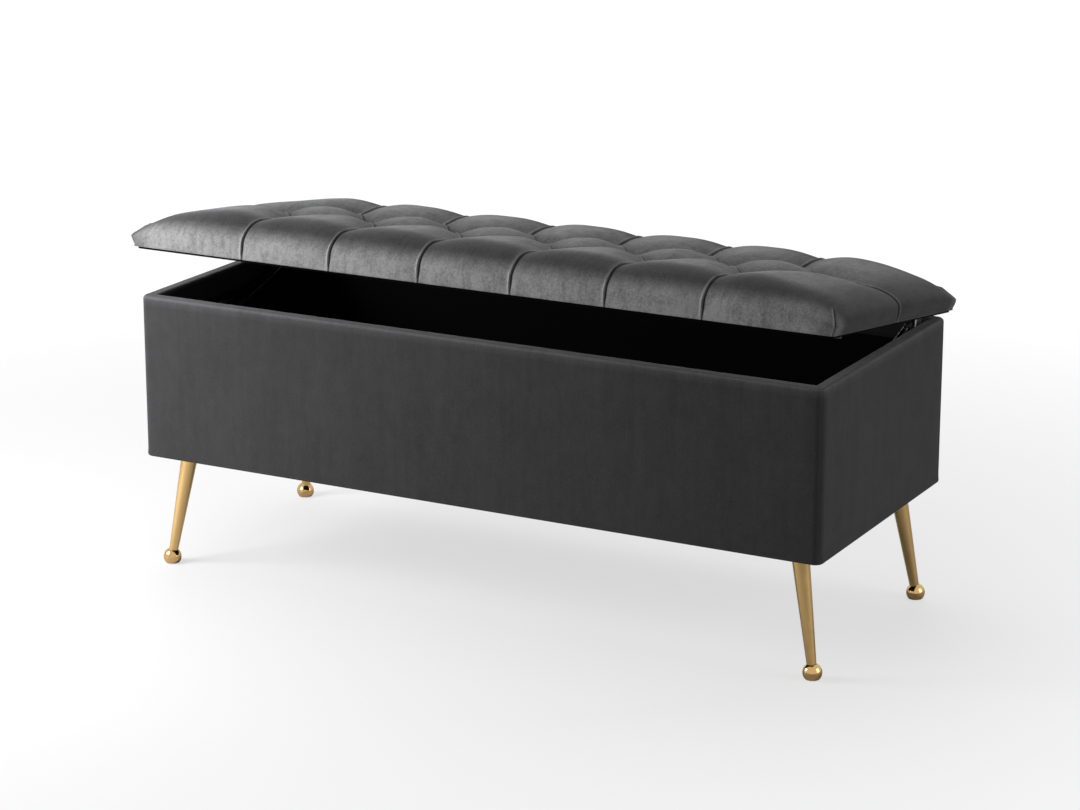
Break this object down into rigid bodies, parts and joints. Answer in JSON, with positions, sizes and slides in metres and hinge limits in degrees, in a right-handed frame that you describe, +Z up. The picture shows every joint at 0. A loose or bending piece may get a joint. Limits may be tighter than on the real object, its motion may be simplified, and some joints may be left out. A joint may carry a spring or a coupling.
{
  "type": "storage bench",
  "caption": "Upholstered storage bench with a deep-tufted hinged velvet lid, a lined compartment and splayed tapered metal legs on ball feet.",
  "frame": {"origin": "on the floor, under the middle of the box", "axes": "+X along the bench's length, +Y towards the hinged rear side, +Z up"},
  "size_m": [1.1, 0.4447, 0.5471],
  "materials": {
    "velvet": "matte",
    "board": "matte",
    "timber": "matte",
    "plywood": "matte",
    "foam": "matte",
    "lining": "matte",
    "hardboard": "matte",
    "gold_metal": "satin",
    "gold_polished": "polished",
    "glide_plastic": "matte",
    "zinc_steel": "satin",
    "bumper_rubber": "matte",
    "black_enamel": "satin",
    "strut_plastic": "matte",
    "chrome_rod": "polished"
  },
  "bodies": {
    "box": {"compartment_lining": "lining", "dust_cover": "lining", "floor_battens": "timber", "floor_panel": "plywood", "floor_screws": "zinc_steel", "foot_glides": "glide_plastic", "foot_studs": "zinc_steel", "front_board": "board", "front_cover": "velvet", "front_left_ball_foot": "gold_polished", "front_left_corner_block": "timber", "front_left_leg": "gold_metal", "front_right_ball_foot": "gold_polished", "front_right_corner_block": "timber", "front_right_leg": "gold_metal", "hinge_1_box_leaf": "zinc_steel", "hinge_2_box_leaf": "zinc_steel", "hinge_3_box_leaf": "zinc_steel", "hinge_box_screws": "zinc_steel", "hinge_pins": "zinc_steel", "left_end_board": "board", "left_end_cover": "velvet", "leg_plates": "gold_metal", "leg_screws": "zinc_steel", "panel_screws": "zinc_steel", "rear_board": "board", "rear_cover": "velvet", "rear_left_ball_foot": "gold_polished", "rear_left_corner_block": "timber", "rear_left_leg": "gold_metal", "rear_right_ball_foot": "gold_polished", "rear_right_corner_block": "timber", "rear_right_leg": "gold_metal", "right_end_board": "board", "right_end_cover": "velvet", "strut_box_brackets": "zinc_steel", "strut_box_screws": "zinc_steel", "strut_box_studs": "zinc_steel"},
    "lid": {"lid_board": "board", "lid_foam": "foam", "lid_cover": "velvet", "lid_under_panel": "hardboard", "tuft_buttons": "velvet", "lid_bumpers": "bumper_rubber", "hinge_1_lid_leaf": "zinc_steel", "hinge_2_lid_leaf": "zinc_steel", "hinge_3_lid_leaf": "zinc_steel", "hinge_lid_screws": "zinc_steel", "strut_lid_brackets": "zinc_steel", "strut_lid_screws": "zinc_steel"},
    "left_strut_cylinder_body": {"left_strut_cylinder": "black_enamel", "left_strut_cylinder_socket": "strut_plastic"},
    "left_strut_rod_body": {"left_strut_rod": "chrome_rod", "left_strut_rod_socket": "strut_plastic", "left_strut_rod_stud": "zinc_steel"},
    "right_strut_cylinder_body": {"right_strut_cylinder": "black_enamel", "right_strut_cylinder_socket": "strut_plastic"},
    "right_strut_rod_body": {"right_strut_rod": "chrome_rod", "right_strut_rod_socket": "strut_plastic", "right_strut_rod_stud": "zinc_steel"}
  },
  "joints": [
    {"name": "lid_hinge", "type": "hinge", "parent": "box", "child": "lid", "pos_m": [0, 0.222, 0.41975], "axis": [-1, 0, 0], "range_deg": [-8, 62]},
    {"name": "left_strut_swivel", "type": "hinge", "parent": "box", "child": "left_strut_cylinder_body", "pos_m": [-0.505, -0.02585, 0.35798], "axis": [-1, 0, 0], "range_deg": [-9.6, 1.3]},
    {"name": "left_strut_slide", "type": "slide", "parent": "left_strut_cylinder_body", "child": "left_strut_rod_body", "axis": [0, 0.9613, 0.2756], "range_m": [-0.004, 0.0302]},
    {"name": "right_strut_swivel", "type": "hinge", "parent": "box", "child": "right_strut_cylinder_body", "pos_m": [0.505, -0.02585, 0.35798], "axis": [-1, 0, 0], "range_deg": [-9.6, 1.3]},
    {"name": "right_strut_slide", "type": "slide", "parent": "right_strut_cylinder_body", "child": "right_strut_rod_body", "axis": [0, 0.9613, 0.2756], "range_m": [-0.004, 0.0302]}
  ],
  "couplings": [
    {"joint": "left_strut_swivel", "follows": "lid_hinge", "ratio": -0.1535},
    {"joint": "left_strut_slide", "follows": "lid_hinge", "m_per_rad": 0.027784},
    {"joint": "right_strut_swivel", "follows": "lid_hinge", "ratio": -0.1535},
    {"joint": "right_strut_slide", "follows": "lid_hinge", "m_per_rad": 0.027784}
  ]
}
